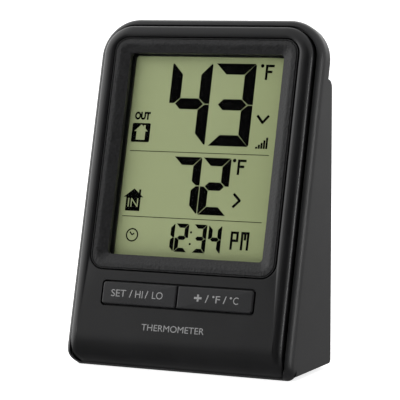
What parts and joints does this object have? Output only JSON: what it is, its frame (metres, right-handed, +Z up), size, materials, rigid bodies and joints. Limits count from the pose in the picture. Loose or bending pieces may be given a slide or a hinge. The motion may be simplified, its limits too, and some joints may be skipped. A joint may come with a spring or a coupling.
{
  "type": "maximum minimum thermometer",
  "caption": "Free-standing desk thermometer with a leaning liquid-crystal display, memory and unit keys under it, and a wedge-shaped rear shell with a battery door.",
  "frame": {"origin": "on the surface it stands on, under the middle of its bounding box", "axes": "+X to the viewer's right, +Y from the display towards the rear wall, +Z up"},
  "size_m": [0.089, 0.0416, 0.125],
  "materials": {
    "front_shell": "moulded ABS with a satin sheen",
    "rear_shell": "moulded ABS, satin",
    "surround": "moulded ABS with a fine spark texture",
    "key": "moulded ABS, satin, with pale printed legends",
    "lens": "clear acrylic sheet",
    "holder": "moulded polystyrene, matt black",
    "display": "reflective twisted-nematic display, olive grey with black figures",
    "display_back": "rear glass with its reflector film",
    "zebra": "striped silicone rubber",
    "board": "glass-epoxy laminate with green solder mask",
    "resin": "cured black epoxy",
    "component": "moulded black nylon",
    "nickel": "nickel-plated steel",
    "copper": "enamelled copper wire",
    "cell": "printed film sleeve over a steel can",
    "red_insulation": "PVC",
    "black_insulation": "PVC",
    "foot": "moulded rubber, matt"
  },
  "bodies": {
    "case": {"front_housing": "front_shell", "window_surround": "surround", "window_lens": "lens", "display_holder": "holder", "display_front_glass": "display", "display_rear_glass": "display_back", "zebra_strip": "zebra", "main_board": "board", "chip_cover": "resin", "clock_crystal": "nickel", "smoothing_capacitor": "component", "indoor_sensor": "resin", "receiver_board": "board", "antenna_coil": "copper", "left_switch": "component", "right_switch": "component", "housing_screw_lower_left": "nickel", "housing_screw_lower_right": "nickel", "housing_screw_upper_left": "nickel", "housing_screw_upper_right": "nickel", "board_screw_lower_left": "nickel", "board_screw_lower_right": "nickel", "board_screw_upper_left": "nickel", "board_screw_upper_right": "nickel", "rear_housing": "rear_shell", "lower_battery": "cell", "upper_battery": "cell", "negative_plate": "nickel", "positive_plate": "nickel", "bridge_plate": "nickel", "negative_spring": "nickel", "bridge_spring": "nickel", "red_lead": "red_insulation", "black_lead": "black_insulation", "rubber_foot_left": "foot", "rubber_foot_right": "foot"},
    "left_key": {"left_key": "key", "left_switch_plunger": "component"},
    "right_key": {"right_key": "key", "right_switch_plunger": "component"},
    "battery_door": {"battery_door": "rear_shell"}
  },
  "joints": [
    {"name": "left_key_press", "type": "slide", "parent": "case", "child": "left_key", "axis": [0, 0.9659, -0.2588], "range_m": [0, 0.0005], "stiffness_N_per_m": 800, "springref_m": -0.0004},
    {"name": "right_key_press", "type": "slide", "parent": "case", "child": "right_key", "axis": [0, 0.9659, -0.2588], "range_m": [0, 0.0005], "stiffness_N_per_m": 800, "springref_m": -0.0004},
    {"name": "battery_door_off", "type": "slide", "parent": "case", "child": "battery_door", "axis": [0, 1, 0], "range_m": [0, 0.03]}
  ]
}
